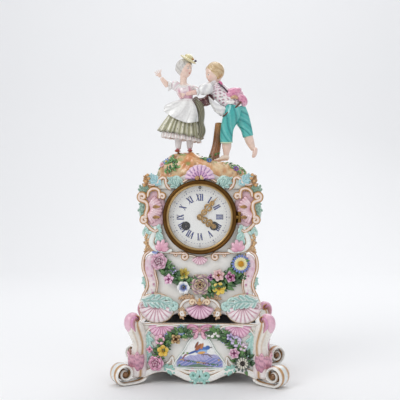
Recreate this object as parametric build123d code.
from build123d import *

import math
import os

# A porcelain mantel clock in two parts: a waisted case with a figure group on its top, standing on a
# scroll-footed stand. Millimetres, +Z up, front towards -Y, origin at the middle of the floor under it.

# Overall places, from the floor up
stand_height = 84.0
dial_rise = 151.2             # the dial's centre over the case's seat
case_above_dial = 48.4
mound_height = 45.0           # the lady's footing over the case's top
overrun = 2.0                 # how far every cutting tool runs past the face it cuts
clearance = 0.3               # between pieces that only lie beside each other
running_clearance = 0.06      # radial, arbors in their pivot holes
glue_line = 0.02              # between pieces stuck face to face on curved seats

# Stand: a hollow box with an arched skirt and a recessed deck
stand_half_width = 84.0
stand_half_depth = 56.0
stand_wall = 6.0
stand_rim_width = 5.0
stand_deck_thick = 5.0
stand_deck_drop = 5.0
arch_height = 17.5
apron_drop_height = 1.5
deck_hole_half_width = 46.0
deck_hole_half_depth = 26.0
pad_thick = 1.4
pad_inset = 1.2

# Heights of the case and the figures, one on the other
deck_top = stand_height - stand_deck_drop
case_seat = deck_top + pad_thick
dial_height = case_seat + dial_rise
case_top_height = dial_height + case_above_dial
figure_base_height = case_top_height + mound_height

# Corner consoles with a foot scroll and a bud volute
console_angle = 33.0
foot_radius = 17.0
foot_width = 30.0
foot_web_width = 24.0
foot_band = 4.6
foot_out = 24.5               # from the stand's corner to the foot scroll's centre
foot_turns = 1.2
bud_radius = 10.5
bud_width = 19.0
bud_rise = 2.0                # bud centre over the stand's top
bud_out = -9.5                # bud centre, measured outwards from the foot scroll's centre
shaft_width = 16.0
bud_height = stand_height + bud_rise

# Cartouche panel and its trims on the stand
panel_half_width = 37.0
panel_bottom_rise = 4.5       # over the skirt's arches
panel_top_drop = 16.0         # below the stand's rim
panel_bottom = arch_height + panel_bottom_rise
panel_top = stand_height - panel_top_drop
panel_thick = 1.6
bow_drop = 8.0
bow_height = stand_height - bow_drop
bow_width = 26.0
bow_thick = 5.0
apron_curl_radius = 6.5
apron_curl_height = 11.0
apron_curl_thick = 5.0

# Case shell
case_half_width = 66.0
case_front = -50.0
case_back = 47.0
case_wall = 5.0
case_roof = 3.0
dial_hole_radius = 47.2
back_hole_radius = 44.0

# Relief ornament on the case
relief_thick = 6.0
wing_depth = 16.0             # how far back the ornament beside the case reaches
rocaille_thick = 9.0
shell_thick = 12.0
corner_shell_radius = 25.0
corner_shell_inset = 6.0
corner_shell_x = case_half_width - corner_shell_inset
corner_shell_rise = 28.1
corner_shell_height = case_seat + corner_shell_rise
apron_shell_radius = 20.0
apron_shell_rise = 30.6
apron_shell_height = case_seat + apron_shell_rise
crest_shell_radius = 21.0
crest_shell_rise = 52.8
crest_shell_height = dial_height + crest_shell_rise
crest_shell_thick = 11.0
bead_radius = 2.2

# Garland and sprays
swag_thick = 4.0
swag_inset = 10.0
swag_radius = case_half_width - swag_inset
swag_drop = 51.6               # the swag's centre below the dial's
swag_height = dial_height - swag_drop
swag_fall_share = 0.8116      # of the height between the swag's centre and the middle scallop
swag_fall = (swag_height - apron_shell_height) * swag_fall_share
swag_width = 18.0
rose_radius = 11.5
rose_depth = 10.0
small_flower_radius = 6.5
small_flower_depth = 5.5
daisy_radius = 12.0
daisy_depth = 6.0
spray_thick = 3.6

# Figure group
mound_half_width = 64.0
mound_half_depth = 42.0
group_height = 139.0          # from the lady's footing to the top of the hat
hat_radius = 13.4
hat_thick = 9.5

# Movement, a round two-train French movement with a bell
plate_radius = 37.5
plate_thick = 2.0
front_plate_y = -44.5
plate_gap = 27.0
pillar_radius = 2.6
pillar_circle = 33.5
pillar_angles = (20, 60, 160, 270)
strap_inner = 41.0
strap_half_width = 3.0
barrel_x = 19.7
barrel_drop = 12.4
barrel_radius = 15.6
barrel_length = 13.5
barrel_teeth = 36
centre_pinion_leaves = 9
centre_module = 0.7333
centre_teeth = 36
third_pinion_leaves = 9
third_module = 0.625
third_teeth = 32
escape_pinion_leaves = 8
wheel_thick = 1.6
arbor_radius = 1.5
square_half = 1.05
square_shoulder = 1.0
winding_front = -51.0
end_shake = 0.5
great_wheel_thick = 2.0
centre_wheel_back_gap = 8.0
third_wheel_gap = 6.0
escape_wheel_back_gap = 5.0
third_angle = 60.0
escape_tip_radius = 6.4
escape_teeth = 24
escape_root_share = 0.74
escape_lead_share = 0.25
anchor_rise = 32.2
motion_module = 0.7
cannon_leaves = 12
minute_wheel_teeth = 36
minute_pinion_leaves = 8
hour_wheel_teeth = 32
cannon_back = -44.9
cannon_length = 1.7
cannon_radius = 2.2
hour_wheel_front = -48.4
hour_wheel_thick = 1.2
hour_pipe_radius = 3.2
bell_radius = 29.0
bell_depth = 17.0
bell_wall = 1.4
bell_front = 4.0
bell_shoulder_share = 0.8
bell_post_circle = 32.5
bell_post_angle = 45
hammer_circle = 34.5
hammer_pivot_angle = 150
hammer_head_angle = 195
hammer_back = 10.0
hammer_head_length = 5.0
hammer_head_radius = 3.0
arm_share = 0.9
pendulum_length = 101.0
bob_radius = 13.0
bob_thick = 6.0
rod_radius = 1.1
rod_y_place = -8.0
crutch_back = -10.6
crutch_half = 1.2
crutch_length = 30.0
eye_radius = 2.4
bob_edge = 1.2
cock_half_width = 7.0
cock_rise = 2.8
cock_top = 44.6
cock_back = -4.0
count_radius = 14.0
count_stand_off = 0.6
count_slots = 5
count_slot_depth = 3.0
count_slot_width = 1.6

# Dial, hands, bezel and doors
dial_radius = 44.4
dial_thick = 1.6
dial_face_y = -51.6
winding_hole_radius = 4.6
regulator_rise = 41.3
regulator_radius = 1.1
bezel_outer = 52.0
bezel_inner = 43.6
bezel_ring_front = -54.0
bezel_door_front = -61.5
bezel_seat_gap = 0.4
bezel_lip = 0.9
bezel_crown = 5.0
glass_radius = 45.6
glass_thick = 2.0
glass_sag = 2.4
hinge_out = 55.0
hinge_y = -59.0
hinge_pin_radius = 1.1
hinge_knuckle_radius = 2.4
knuckle_length = 5.0
back_ring_outer = 50.0
back_ring_thick = 3.0
back_door_thick = 1.6
back_door_pan = 2.3
back_door_rim = 1.9
back_hinge_out = 53.0
back_knuckle_radius = 1.8
screw_radius = 2.4
minute_hand_length = 37.0
hour_hand_length = 27.0
minute_hand_angle = 41.4
hour_hand_angle = 123.45
hand_thick = 0.8
minute_hand_front = -54.8
hour_hand_front = -53.2
hand_nut_front = -56.0
nut_thick = 1.2
nut_radius = 2.6
boss_share = 1.0
dial_hole_share = 1.2
dial_foot_angles = (90, 210, 330)
anchor_share = [(0.0, 0.21), (0.376, 0.07), (0.775, -0.4), (0.669, -0.493), (0.423, -0.288),
                (0.0, -0.153)]

# Simple solids

def flat_face(points):
    return Face(Wire.make_polygon([Vector(*p) for p in points], close=True))


def group(*shapes):
    """All the solids of some shapes as one shape."""
    solids = []
    for shape in shapes:
        found = shape if isinstance(shape, (list, tuple)) else [shape]
        for one in found:
            solids.extend(one.solids())
    return Compound(solids)


def fused(*shapes):
    return group(shapes[0].fuse(*shapes[1:])) if len(shapes) > 1 else group(shapes[0])


def cut_by(shape, *tools):
    return group(shape.cut(*tools))


def front_prism(outline, front, back):
    """A prism along Y of an outline of (x, z) points."""
    face = flat_face([(x, front, z) for x, z in outline])
    return Solid.extrude(face, Vector(0, back - front, 0))


def plate_along(plane, outline, width):
    """A prism of an outline in a plane, half its width to each side."""
    start = plane.offset(-width / 2)
    face = flat_face([start.from_local_coords(Vector(u, v, 0)) for u, v in outline])
    return Solid.extrude(face, plane.z_dir * width)


def box_between(low, high):
    size = [b - a for a, b in zip(low, high)]
    return Solid.make_box(*size, Plane(origin=low))


round_facets = 20
facet_growth_share = 1.2
fewest_facets = 8


def sides_for(radius):
    """How many facets stand for a circle: more on a larger one, up to round_facets."""
    return max(fewest_facets, min(round_facets, 2 * round(2 + radius * facet_growth_share / 2)))


def circle_points(x, z, radius, sides):
    """A regular polygon of (x, z) points inside a circle."""
    return [(x + radius * math.cos(2 * math.pi * k / sides), z + radius * math.sin(2 * math.pi * k / sides))
            for k in range(sides)]


def rod_y(x, z, radius, front, back):
    """A round rod along Y."""
    return front_prism(circle_points(x, z, radius, sides_for(radius)), front, back)


def bore_y(x, z, radius, front, back):
    """The tool for a round bore along Y: its facets lie outside the circle, so a shaft can turn in it."""
    sides = sides_for(radius)
    return front_prism(circle_points(x, z, radius / math.cos(math.pi / sides), sides), front, back)


def rod_z(x, y, radius, low, high):
    """A round rod along Z."""
    face = flat_face([(u, v, low) for u, v in circle_points(x, y, radius, sides_for(radius))])
    return Solid.extrude(face, Vector(0, 0, high - low))


def tube_y(x, z, outer, inner, front, back):
    return cut_by(rod_y(x, z, outer, front, back), bore_y(x, z, inner, front - overrun, back + overrun))


def turned(x, z, profile):
    """A turned piece about an axis along Y, from the (radius, y) corners of its section."""
    sides = sides_for(max(radius for radius, _ in profile))
    rings = []
    for radius, y in profile:
        rings.append([(u, y, v) for u, v in circle_points(x, z, radius, sides)])
    faces = []
    for (low, (r1, _)), (high, (r2, _)) in zip(zip(rings, profile),
                                               zip(rings[1:] + rings[:1], profile[1:] + profile[:1])):
        for k in range(sides):
            after = (k + 1) % sides
            if r1 > 0 and r2 > 0:
                faces.append(flat_face([low[k], low[after], high[after], high[k]]))
            elif r1 > 0:
                faces.append(flat_face([low[k], low[after], high[k]]))
            elif r2 > 0:
                faces.append(flat_face([low[k], high[after], high[k]]))
    return Solid(Shell(faces))


def mirrored(shape):
    return group(shape.mirror(Plane.YZ))


def lofted(rings):
    """Flat facets through rings that all have the same number of points, closed at both ends."""
    faces = [flat_face(rings[0]), flat_face(rings[-1])]
    for low, high in zip(rings, rings[1:]):
        for k in range(len(low)):
            after = (k + 1) % len(low)
            faces.append(flat_face([low[k], low[after], high[after]]))
            faces.append(flat_face([low[k], high[after], high[k]]))
    return Solid(Shell(faces))


def ring_at(centre, radius_x, radius_y, sides, tilt=0.0, lean=0.0):
    """A level ring of points, tilted about Y and leant about X, in degrees."""
    plane = Plane(origin=centre).rotated((lean, tilt, 0))
    points = []
    for k in range(sides):
        angle = 2 * math.pi * (k + 0.5) / sides
        local = Vector(radius_x * math.cos(angle), radius_y * math.sin(angle), 0)
        points.append(tuple(plane.from_local_coords(local)))
    return points


def limb(stations, sides=8):
    """A tapering limb through (point, radius) stations, square to its run at each."""
    rings = []
    spots = [Vector(*p) for p, _ in stations]
    for k, (_, radius) in enumerate(stations):
        before = spots[max(k - 1, 0)]
        after = spots[min(k + 1, len(spots) - 1)]
        plane = Plane(origin=spots[k], x_dir=(0, 1, 0), z_dir=(after - before).normalized())
        ring = []
        for j in range(sides):
            angle = 2 * math.pi * j / sides
            local = Vector(radius * math.cos(angle), radius * math.sin(angle), 0)
            ring.append(tuple(plane.from_local_coords(local)))
        rings.append(ring)
    return lofted(rings)


def relief(front, seat):
    """Closes a grid of front points onto the flat seat at y = seat."""
    faces = []
    for row, following in zip(front, front[1:]):
        for k in range(len(row) - 1):
            faces.append(flat_face([row[k], row[k + 1], following[k + 1]]))
            faces.append(flat_face([row[k], following[k + 1], following[k]]))
    left = [row[0] for row in front[-2:0:-1]]
    right = [row[-1] for row in front[1:-1]]
    rim = list(front[0]) + right + list(front[-1])[::-1] + left
    base = [(x, seat, z) for x, _, z in rim]
    for k in range(len(rim)):
        after = (k + 1) % len(rim)
        faces.append(flat_face([rim[k], rim[after], base[after], base[k]]))
    faces.append(flat_face(base))
    return Solid(Shell(faces))


# Ornament

scroll_points_per_turn = 7
scroll_taper_share = 0.3
scroll_shrink_share = 0.2


def scroll_outline(centre, radius, turns, start, hand, band):
    """A spiral band that winds in from radius, from its outer edge to its eye and back."""
    steps = max(3, round(turns * scroll_points_per_turn))
    outer, inner = [], []
    for k in range(steps + 1):
        share = k / steps
        angle = math.radians(start) + hand * 2 * math.pi * turns * share
        here = radius * (1 - (1 - scroll_shrink_share) * share)
        wide = band * (1 - (1 - scroll_taper_share) * share)
        outer.append((centre[0] + here * math.cos(angle), centre[1] + here * math.sin(angle)))
        low = max(here - wide, here * scroll_taper_share)
        inner.append((centre[0] + low * math.cos(angle), centre[1] + low * math.sin(angle)))
    return outer + inner[::-1]


fan_hub_share = 0.18
fan_waist_share = 0.62
fan_groove_share = 0.92
fan_heights_share = [(0.75, 0.6), (1.0, 0.72), (0.62, 0.4)]


def fan(centre, radius, start, end, ribs, thick, seat):
    """A fluted scallop: ribs spread from a hub, crowned at the waist, with a scalloped rim."""
    rows = []
    for level, radius_share in enumerate([fan_hub_share, fan_waist_share, 1.0]):
        row = []
        for k in range(2 * ribs + 1):
            angle = math.radians(start + (end - start) * k / (2 * ribs))
            ridge = k % 2 == 1
            reach = radius * radius_share * (1.0 if ridge or level < 2 else fan_groove_share)
            high = thick * fan_heights_share[level][0 if ridge else 1]
            row.append((centre[0] + reach * math.cos(angle), seat - high,
                        centre[1] + reach * math.sin(angle)))
        rows.append(row)
    return relief(rows, seat)


# Each ring of a flower: reach, height, and how deep the notch between two petals is
rose_rings_share = [(0.45, 0.0, 0.0), (1.0, 0.5, 0.12), (0.66, 0.6, 0.1), (0.56, 0.95, 0.12),
                    (0.24, 0.8, 0.1)]
cup_rings_share = [(0.4, 0.0, 0.0), (1.0, 1.0, 0.2), (0.3, 0.4, 0.0)]
daisy_rings_share = [(0.45, 0.0, 0.0), (1.0, 0.55, 0.24), (0.5, 0.7, 0.1), (0.42, 1.0, 0.0)]


def flower(x, z, seat, radius, depth, petals, rings_share, turn=0.0, lift=0.0):
    """A flower facing -Y whose petals are notched rings, on a stalk of length lift from y = seat."""
    levels = [(reach, lift + depth * height, notch) for reach, height, notch in rings_share]
    if lift > 0:
        levels.insert(0, (rings_share[0][0], 0, 0))
    rings = []
    for reach, height, notch in levels:
        ring = []
        for k in range(2 * petals):
            angle = math.radians(turn) + math.pi * k / petals
            here = radius * reach * (1 - (notch if k % 2 else 0))
            ring.append((x + here * math.cos(angle), seat - height, z + here * math.sin(angle)))
        rings.append(ring)
    return lofted(rings)


leaf_edge_share = [(0.0, 0.0), (0.42, 1.0), (0.78, 0.62), (1.0, 0.0)]


def leaf_outline(x, z, length, half_width, angle):
    """A pointed leaf from its stalk at (x, z), along an angle in degrees."""
    run = (math.cos(math.radians(angle)), math.sin(math.radians(angle)))
    upper = [(length * a, half_width * b) for a, b in leaf_edge_share]
    lower = [(length * a, -half_width * b) for a, b in leaf_edge_share[-2:0:-1]]
    return [(x + u * run[0] - v * run[1], z + u * run[1] + v * run[0]) for u, v in upper + lower]


# The stand

stand_rim_half_depth = stand_half_depth - stand_rim_width
stand_front = -stand_half_depth
# The skirt's lower edge: a low lobe in the middle, an arch each side, then down to the corner
skirt_across_share = [0.0, 0.2, 0.38, 0.52, 0.66, 0.84, 1.0]
skirt_height_share = [0.0, 0.16, 0.66, 0.94, 1.0, 0.72, 0.2]


def skirt_edge():
    """Half of the arched lower edge, as (x, z) points from the middle outwards."""
    rise = arch_height - apron_drop_height
    return [(stand_half_width * a, apron_drop_height + rise * b)
            for a, b in zip(skirt_across_share, skirt_height_share)]


def stand_body():
    """Slip-cast box: arched skirt front and back, arched sides, recessed deck with an oval hole."""
    right = skirt_edge()
    left = [(-x, z) for x, z in right[:0:-1]]
    outline = left + right + [(stand_half_width, stand_height), (-stand_half_width, stand_height)]
    block = front_prism(outline, stand_front, stand_half_depth)
    hollow = box_between(
        (stand_wall - stand_half_width, stand_front + stand_wall, -overrun),
        (stand_half_width - stand_wall, stand_half_depth - stand_wall, deck_top - stand_deck_thick))
    recess = box_between(
        (stand_rim_width - stand_half_width, -stand_rim_half_depth, deck_top),
        (stand_half_width - stand_rim_width, stand_rim_half_depth, stand_height + overrun))
    hole = Solid.extrude(Face(Wire.make_ellipse(deck_hole_half_width, deck_hole_half_depth,
                                                Plane(origin=(0, 0, deck_top - stand_deck_thick - overrun)))),
                         Vector(0, 0, stand_deck_thick + 2 * overrun))
    reach = stand_half_depth * side_arch_share
    tunnel = [(-reach, -overrun), (-reach, arch_height * side_arch_share), (0, arch_height),
              (reach, arch_height * side_arch_share), (reach, -overrun)]
    face = flat_face([(-stand_half_width - overrun, y, z) for y, z in tunnel])
    side_arch = Solid.extrude(face, Vector(2 * (stand_half_width + overrun), 0, 0))
    return cut_by(block, hollow, recess, hole, side_arch)


side_arch_share = 0.72
# The console's shaft between the bud and the foot: outwards from the corner, and height
shaft_outer_share = [(0.88, 0.86), (0.62, 0.70), (0.5, 0.52), (0.62, 0.36), (0.72, 0.24)]
shaft_inner_share = [(-0.5, 0.18), (-0.5, 0.98), (0.4, 0.98)]


def console_plane(side_x, side_y):
    """The upright plane of a corner's console, its origin on the floor under the foot scroll."""
    angle = math.radians(console_angle)
    out = Vector(side_x * math.cos(angle), side_y * math.sin(angle), 0)
    corner = Vector(side_x * stand_half_width, side_y * stand_half_depth, 0)
    return Plane(origin=corner + out * foot_out, x_dir=out, z_dir=out.cross(Vector(0, 0, 1)))


def corner_console(side_x, side_y):
    """S-shaped corner support: a bud at the top, a fluted shaft, and a scroll that is the foot."""
    plane = console_plane(side_x, side_y)
    centre = (0, foot_radius)
    band = scroll_outline(centre, foot_radius, foot_turns, -90, 1, foot_band)
    web = [(foot_radius * foot_web_share * math.cos(2 * math.pi * k / console_sides),
            foot_radius + foot_radius * foot_web_share * math.sin(2 * math.pi * k / console_sides))
           for k in range(console_sides)]
    bud_top = [(bud_out + bud_radius * math.cos(2 * math.pi * k / console_sides),
                bud_height + bud_radius * math.sin(2 * math.pi * k / console_sides))
               for k in range(console_sides)]
    shaft = [((a - 1) * foot_out, b * stand_height) for a, b in shaft_outer_share + shaft_inner_share]
    toe = [(-foot_out * toe_share, 0), (0, 0), (0, foot_radius),
           (-foot_out * toe_share, foot_radius + foot_band)]
    whole = fused(plate_along(plane, web, foot_web_width), plate_along(plane, band, foot_width),
                  plate_along(plane, bud_top, bud_width), plate_along(plane, shaft, shaft_width),
                  plate_along(plane, toe, foot_web_width))
    envelope = box_between((-stand_half_width, -stand_half_depth, -overrun),
                           (stand_half_width, stand_half_depth, stand_height + bud_height))
    return cut_by(whole, envelope)


console_sides = 8
foot_web_share = 0.93
toe_share = 1.1


def felt_pad():
    """Thin black baize that fills the recess and hides the deck."""
    half_x = stand_half_width - stand_rim_width - pad_inset
    half_y = stand_rim_half_depth - pad_inset
    return box_between((-half_x, -half_y, deck_top), (half_x, half_y, deck_top + pad_thick))


panel_edge_share = [(1.0, 0.0), (0.94, 0.22), (0.7, 0.52), (0.42, 0.84), (0.2, 0.97), (0.0, 1.0)]


def cartouche_panel():
    """The raised bell-shaped reserve that carries the painted scene."""
    high = panel_top - panel_bottom
    right = [(panel_half_width * a, panel_bottom + high * b) for a, b in panel_edge_share]
    left = [(-x, z) for x, z in right[-2::-1]]
    return front_prism(right + left, stand_front - panel_thick, stand_front)


def ribbon_bow():
    """Two pink loops hanging over the rim's middle."""
    seat = stand_front
    loops = []
    for side in (-1, 1):
        loops.append(flower(side * bow_width / 4, bow_height, seat, bow_width / 4, bow_thick,
                            bow_petals, cup_rings_share, 90 * side))
    return group(*loops)


bow_petals = 4


def apron_scroll():
    """A pair of curled leaves on the middle lobe of the skirt."""
    pieces = []
    for side in (-1, 1):
        centre = (side * apron_curl_radius * curl_spread_share, apron_curl_height)
        outline = scroll_outline(centre, apron_curl_radius, 1.0, 90, side, apron_curl_radius / 2)
        pieces.append(front_prism(outline, stand_front - apron_curl_thick, stand_front))
    return group(*pieces)


curl_spread_share = 1.08

# Flowers of a spray: shares of the stand's half width and height, size, petals and kind
spray_left_share = [
    (-0.72, 0.34, 1.1, 6, "rose"), (-0.60, 0.545, 0.72, 4, "cup"), (-0.655, 0.725, 0.62, 4, "cup"),
    (-0.73, 0.56, 0.55, 4, "cup"), (-0.39, 0.735, 0.72, 4, "cup"), (-0.31, 0.86, 0.66, 6, "daisy"),
    (-0.47, 0.88, 0.5, 4, "cup"),
]
spray_right_share = [
    (0.70, 0.345, 1.0, 8, "daisy"), (0.56, 0.525, 0.72, 4, "cup"), (0.55, 0.715, 0.72, 6, "daisy"),
    (0.31, 0.83, 0.66, 4, "cup"), (0.43, 0.86, 0.5, 4, "cup"), (0.70, 0.58, 0.5, 4, "cup"),
]
# The sprays' stem: the same shares, from the low corner up to the bow
stem_share = [(0.70, 0.33), (0.64, 0.58), (0.50, 0.76), (0.33, 0.84), (0.20, 0.85)]
stem_half_width = 6.0
spray_leaf_length = 14.0
spray_leaf_half_width = 5.0
spray_flower_radius = 8.6
flower_kinds = {"rose": rose_rings_share, "cup": cup_rings_share, "daisy": daisy_rings_share}
flower_depths_share = {"rose": 0.86, "cup": 0.7, "daisy": 0.5}


def spray_leaf_plate(side):
    """Leaves that fan out of both edges of the spray's stem, as one flat plate."""
    spots = [(side * stand_half_width * a, stand_height * b) for a, b in stem_share]
    upper, lower = [], []
    leaves = []
    for k, (x, z) in enumerate(spots):
        before = spots[max(k - 1, 0)]
        after = spots[min(k + 1, len(spots) - 1)]
        along = math.atan2(after[1] - before[1], after[0] - before[0])
        across = (-math.sin(along) * stem_half_width, math.cos(along) * stem_half_width)
        upper.append((x + across[0], z + across[1]))
        lower.append((x - across[0], z - across[1]))
        for turn in (60, -60):
            angle = math.degrees(along) + turn
            leaves.append(leaf_outline(x, z, spray_leaf_length, spray_leaf_half_width, angle))
    outlines = leaves + [upper + lower[::-1]]
    plates = [front_prism(outline, stand_front - spray_thick, stand_front) for outline in outlines]
    trimmed = cut_by(fused(*plates), cartouche_panel(), ribbon_bow(), corner_console(side, -1))
    return group(max(trimmed.solids(), key=lambda solid: solid.volume))


def spray_flowers(places_share):
    """The applied flowers of one spray, on the front of its leaves."""
    seat = stand_front - spray_thick
    made = []
    for across, up, size, petals, kind in places_share:
        radius = spray_flower_radius * size
        made.append(flower(stand_half_width * across, stand_height * up, seat, radius,
                           radius * flower_depths_share[kind], petals, flower_kinds[kind]))
    return group(*made)


# The case

case_profile_share = [(1.0, 0.0), (0.93, 0.22), (0.97, 0.45), (0.92, 0.60), (1.0, 0.78), (0.94, 0.95),
                      (0.86, 1.0)]
front_arch_share = [(0.78, 0.0), (0.72, 0.4), (0.5, 0.75), (0.3, 0.62), (0.0, 1.0)]
arch_rise = 22.0
side_cut_rise = 9.0
side_cut_share = 0.6


def case_outline(inset, bottom, top):
    """The waisted outline of the case at a given inset, as (x, z) points."""
    high = case_top_height - case_seat
    right = [(case_half_width - inset, bottom)]
    for a, b in case_profile_share[1:]:
        right.append((case_half_width * a - inset, min(case_seat + high * b, top)))
    return right + [(-x, z) for x, z in right[::-1]]


def case_block():
    """The case's outer form before it is hollowed, with the low parapet behind the crest."""
    parapet = front_prism([(case_half_width * a, case_top_height + parapet_height * b)
                           for a, b in parapet_share], case_front, case_front + case_wall)
    return fused(front_prism(case_outline(0, case_seat, case_top_height), case_front, case_back), parapet)


def case_body():
    """The hollow porcelain case: open below, round openings in front and behind, arched front foot."""
    cavity = front_prism(case_outline(case_wall, case_seat - overrun, case_top_height - case_roof),
                         case_front + case_wall, case_back - case_wall)
    front_hole = bore_y(0, dial_height, dial_hole_radius, case_front - overrun, case_front + case_wall * 2)
    back_hole = bore_y(0, dial_height, back_hole_radius, case_back - case_wall * 2, case_back + overrun)
    right = [(case_half_width * a, case_seat + arch_rise * b) for a, b in front_arch_share]
    arch = right + [(-x, z) for x, z in right[-2::-1]]
    low = [(x, z - overrun if z == case_seat else z) for x, z in arch]
    front_arch = front_prism(low, case_front - overrun, case_front + case_wall + overrun)
    reach = case_back * side_cut_share
    side_cut = box_between((-case_half_width - overrun, -reach, case_seat - overrun),
                           (case_half_width + overrun, reach, case_seat + side_cut_rise))
    return cut_by(case_block(), cavity, front_hole, back_hole, front_arch, side_cut)


parapet_height = 17.0
parapet_share = [(-0.9, -0.5), (0.9, -0.5), (0.98, 0.5), (0.5, 0.3), (0.24, 0.8), (0.0, 1.0),
                 (-0.24, 0.8), (-0.5, 0.3), (-0.98, 0.5)]


# Side rocaille beside the dial, as seen on the right: x from the case's side, z up its height
rocaille_drop = 31.6
rocaille_rise = 41.4
rocaille_low = dial_height - rocaille_drop
rocaille_high = dial_height + rocaille_rise
rocaille_inset = 11.0
rocaille_overhang = 19.0
rocaille_inner = case_half_width - rocaille_inset
rocaille_outer = case_half_width + rocaille_overhang
rocaille_share = [(0.2, 0.10), (0.52, 0.0), (0.80, 0.10), (0.98, 0.24), (0.84, 0.42), (0.78, 0.62),
                  (0.96, 0.80), (0.80, 0.98), (0.42, 1.0), (0.30, 0.84), (0.42, 0.64), (0.34, 0.36)]
rocaille_scrolls_share = [(0.46, 0.78, 0.28, 1.2, 0, 1), (0.86, 0.80, 0.24, 1.1, 200, -1),
                          (0.84, 0.26, 0.22, 1.1, 90, -1)]


def rocaille():
    """Pink shell-work panel with three gilt-edged scrolls standing on it."""
    wide = rocaille_outer - rocaille_inner
    high = rocaille_high - rocaille_low

    def place(a, b):
        return (rocaille_inner + wide * a, rocaille_low + high * b)

    plate = front_prism([place(a, b) for a, b in rocaille_share], case_front - relief_thick,
                        case_front + wing_depth)
    scrolls = []
    for a, b, size, turns, start, hand in rocaille_scrolls_share:
        outline = scroll_outline(place(a, b), wide * size, turns, start, hand, wide * size / 2)
        scrolls.append(front_prism(outline, case_front - rocaille_thick, case_front))
    keep_off = rod_y(0, dial_height, bezel_outer + clearance, case_front - rocaille_thick - overrun,
                     case_front + overrun)
    hinge_room = box_between((0, case_front - rocaille_thick - overrun, dial_height - hinge_span),
                             (hinge_out + hinge_knuckle_radius + 2 * clearance, case_front + overrun,
                              dial_height + hinge_span))
    return cut_by(fused(plate, *scrolls), keep_off, hinge_room, case_block())


hinge_span = 9.0

# Corner brackets at the shoulders and the mint curls under the rocaille, as seen on the right
shoulder_share = [(0.0, 0.3), (0.35, 0.0), (0.8, 0.05), (1.0, 0.5), (0.9, 1.0), (0.62, 0.72),
                  (0.3, 0.9), (0.05, 0.7)]
shoulder_inset = 36.0
shoulder_overhang = 12.0
shoulder_inner = case_half_width - shoulder_inset
shoulder_outer = case_half_width + shoulder_overhang
shoulder_drop = 5.5
shoulder_rise = 13.0
shoulder_low = case_top_height - shoulder_drop
shoulder_high = case_top_height + shoulder_rise
curl_inset = 22.0
curl_overhang = 11.0
curl_inner = case_half_width - curl_inset
curl_outer = case_half_width + curl_overhang
curl_low_drop = 51.6
curl_high_drop = 24.6
curl_low = dial_height - curl_low_drop
curl_high = dial_height - curl_high_drop
curl_share = [(0.0, 0.0), (0.5, 0.06), (0.9, 0.0), (1.0, 0.6), (0.9, 0.95), (0.6, 1.0), (0.5, 0.7),
              (0.34, 0.3)]


def shoulder_bracket():
    """Curled mint leaf at the top corner of the front."""
    wide = shoulder_outer - shoulder_inner
    high = shoulder_high - shoulder_low
    outline = [(shoulder_inner + wide * a, shoulder_low + high * b) for a, b in shoulder_share]
    centre = (shoulder_inner + wide * 0.3, shoulder_low + high * 0.45)
    curl = scroll_outline(centre, high * 0.45, 1.3, 180, -1, high * 0.2)
    whole = fused(front_prism(outline, case_front - relief_thick, case_front + wing_depth),
                  front_prism(curl, case_front - rocaille_thick, case_front))
    keep_off = rod_y(0, dial_height, bezel_outer + clearance, case_front - rocaille_thick - overrun,
                     case_front + overrun)
    return cut_by(whole, keep_off, case_block())


def lower_curl():
    """Mint curl and pink leaves below the rocaille."""
    wide = curl_outer - curl_inner
    high = curl_high - curl_low
    outline = [(curl_inner + wide * a, curl_low + high * b) for a, b in curl_share]
    centre = (curl_inner + wide * 0.8, curl_low + high * 0.74)
    curl = scroll_outline(centre, wide * 0.24, 1.4, 0, 1, wide * 0.1)
    whole = fused(front_prism(outline, case_front - relief_thick, case_front + wing_depth),
                  front_prism(curl, case_front - rocaille_thick, case_front))
    keep_off = rod_y(0, dial_height, bezel_outer + clearance, case_front - rocaille_thick - overrun,
                     case_front + overrun)
    return cut_by(whole, keep_off, case_block(), rocaille())


# Lower side pilaster, as seen on the right
pilaster_inset = 10.0
pilaster_overhang = 14.0
pilaster_inner = case_half_width - pilaster_inset
pilaster_outer = case_half_width + pilaster_overhang
pilaster_low_rise = 36.6
pilaster_gap = 3.0
pilaster_low = case_seat + pilaster_low_rise
pilaster_high = curl_low - pilaster_gap
pilaster_share = [(0.0, 0.0), (1.0, 0.0), (0.86, 0.18), (0.9, 0.42), (1.0, 0.72), (0.96, 0.96),
                  (0.7, 1.0), (0.4, 0.9), (0.26, 0.5), (0.3, 0.25)]


def pilaster():
    """Waisted pilaster with a raised gilt edge down each side."""
    wide = pilaster_outer - pilaster_inner
    high = pilaster_high - pilaster_low
    outline = [(pilaster_inner + wide * a, pilaster_low + high * b) for a, b in pilaster_share]
    middle = [sum(p[i] for p in outline) / len(outline) for i in (0, 1)]
    field = [(middle[0] + (x - middle[0]) * pilaster_field_share,
              middle[1] + (z - middle[1]) * pilaster_field_share) for x, z in outline]
    plate = front_prism(outline, case_front - rocaille_thick, case_front + wing_depth)
    sunk = front_prism(field, case_front - rocaille_thick - overrun, case_front - relief_thick)
    return cut_by(plate, sunk, case_block())


pilaster_field_share = 0.72
corner_shell_ribs = 7
apron_shell_ribs = 6
crest_shell_ribs = 8


def corner_shell():
    """Right-hand scallop foot with its mint leaf, hung on the case's front corner."""
    seat = case_front
    scallop = fan((corner_shell_x, corner_shell_height), corner_shell_radius, 188, 352,
                  corner_shell_ribs, shell_thick, seat)
    low = box_between((0, seat - shell_thick - overrun, 0),
                      (2 * case_half_width, seat + overrun, stand_height + clearance))
    return cut_by(scallop, low)


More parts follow.
